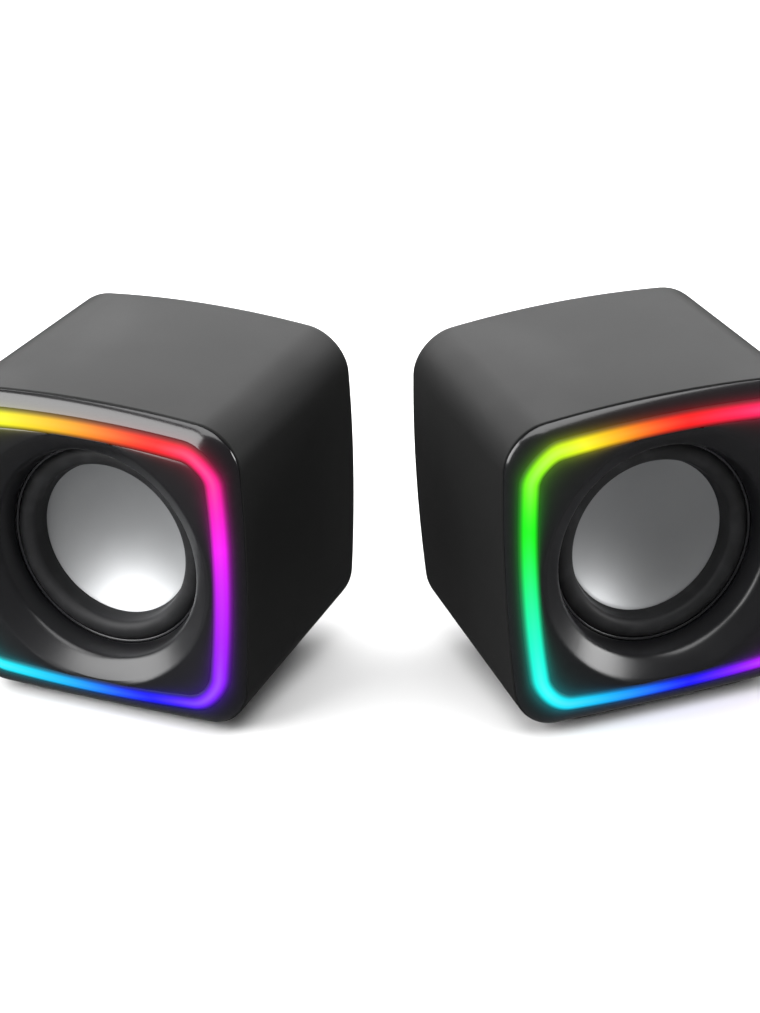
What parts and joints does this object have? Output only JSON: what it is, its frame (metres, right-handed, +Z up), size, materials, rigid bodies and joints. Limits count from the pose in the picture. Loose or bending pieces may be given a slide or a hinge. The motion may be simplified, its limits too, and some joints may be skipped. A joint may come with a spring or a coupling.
{
  "type": "desktop speakers",
  "caption": "Pair of small rounded-cube desktop speakers, each with a silver dish driver in a black bowl and a light ring round its front edge.",
  "frame": {"origin": "centre of the pair's bounding box, on the desk plane under the base pads", "axes": "+X along the pair from the left speaker to the right one as seen from in front, -Y towards the listener, +Z up; the left front turns 27.2 degrees to -X and the right front 21.4 degrees to +X"},
  "size_m": [0.1978, 0.0918, 0.0786],
  "materials": {
    "shell": "fine satin grain",
    "gloss_black": "piano gloss",
    "lit_ring": "frosted, lit from behind",
    "circuit_board": "solder resist",
    "led_body": "satin",
    "pad_rubber": "matt",
    "black_steel": "black oxide",
    "zinc_steel": "zinc plated",
    "gasket_paper": "matt",
    "surround_rubber": "satin",
    "spider_cloth": "resin-stiffened weave",
    "basket_steel": "black paint",
    "ferrite": "matt",
    "terminal_strip": "bonded fibre board",
    "wire_sleeve": "satin",
    "dish_metal": "satin spun",
    "former_paper": "matt",
    "copper_wire": "enamelled copper wire",
    "can_metal": "satin",
    "chip_plastic": "moulded epoxy",
    "socket_plastic": "nylon",
    "knob_plastic": "satin"
  },
  "bodies": {
    "right_speaker": {"right_cabinet": "shell", "right_front_frame": "gloss_black", "right_light_guide": "lit_ring", "right_led_board": "circuit_board", "right_leds": "led_body", "right_baffle": "gloss_black", "right_base_pad": "pad_rubber", "right_back_panel": "shell", "right_cable_glands": "pad_rubber", "right_baffle_screws": "black_steel", "right_back_screws": "black_steel", "right_driver_screws": "zinc_steel", "right_driver_gasket": "gasket_paper", "right_surround": "surround_rubber", "right_spider": "spider_cloth", "right_basket": "basket_steel", "right_top_plate": "zinc_steel", "right_magnet": "ferrite", "right_yoke": "zinc_steel", "right_terminals": "terminal_strip", "right_driver_leads": "wire_sleeve", "right_amp_board": "circuit_board", "right_board_screws": "zinc_steel", "right_capacitors": "can_metal", "right_amp_chip": "chip_plastic", "right_connectors": "socket_plastic", "right_volume_pot": "can_metal", "right_pot_nut": "zinc_steel"},
    "right_cone": {"right_dish": "dish_metal", "right_coil_former": "former_paper", "right_voice_coil": "copper_wire"},
    "volume_control": {"right_pot_shaft": "zinc_steel", "right_volume_knob": "knob_plastic"},
    "left_speaker": {"left_cabinet": "shell", "left_front_frame": "gloss_black", "left_light_guide": "lit_ring", "left_led_board": "circuit_board", "left_leds": "led_body", "left_baffle": "gloss_black", "left_base_pad": "pad_rubber", "left_back_panel": "shell", "left_cable_glands": "pad_rubber", "left_baffle_screws": "black_steel", "left_back_screws": "black_steel", "left_driver_screws": "zinc_steel", "left_driver_gasket": "gasket_paper", "left_surround": "surround_rubber", "left_spider": "spider_cloth", "left_basket": "basket_steel", "left_top_plate": "zinc_steel", "left_magnet": "ferrite", "left_yoke": "zinc_steel", "left_terminals": "terminal_strip", "left_driver_leads": "wire_sleeve"},
    "left_cone": {"left_dish": "dish_metal", "left_coil_former": "former_paper", "left_voice_coil": "copper_wire"}
  },
  "joints": [
    {"name": "left_speaker_place", "type": "slide", "parent": "right_speaker", "child": "left_speaker", "axis": [-1, 0, 0], "range_m": [0, 0.4]},
    {"name": "left_cone_travel", "type": "slide", "parent": "left_speaker", "child": "left_cone", "axis": [-0.4571, -0.8894, 0], "range_m": [-0.001, 0.001], "stiffness_N_per_m": 1000, "deforming": ["left_surround", "left_spider"]},
    {"name": "right_cone_travel", "type": "slide", "parent": "right_speaker", "child": "right_cone", "axis": [0.3649, -0.9311, 0], "range_m": [-0.001, 0.001], "stiffness_N_per_m": 1000, "deforming": ["right_surround", "right_spider"]},
    {"name": "volume_turn", "type": "hinge", "parent": "right_speaker", "child": "volume_control", "pos_m": [0.04095, 0.02544, 0.047], "axis": [-0.3649, 0.9311, 0], "range_deg": [-150, 150]}
  ]
}
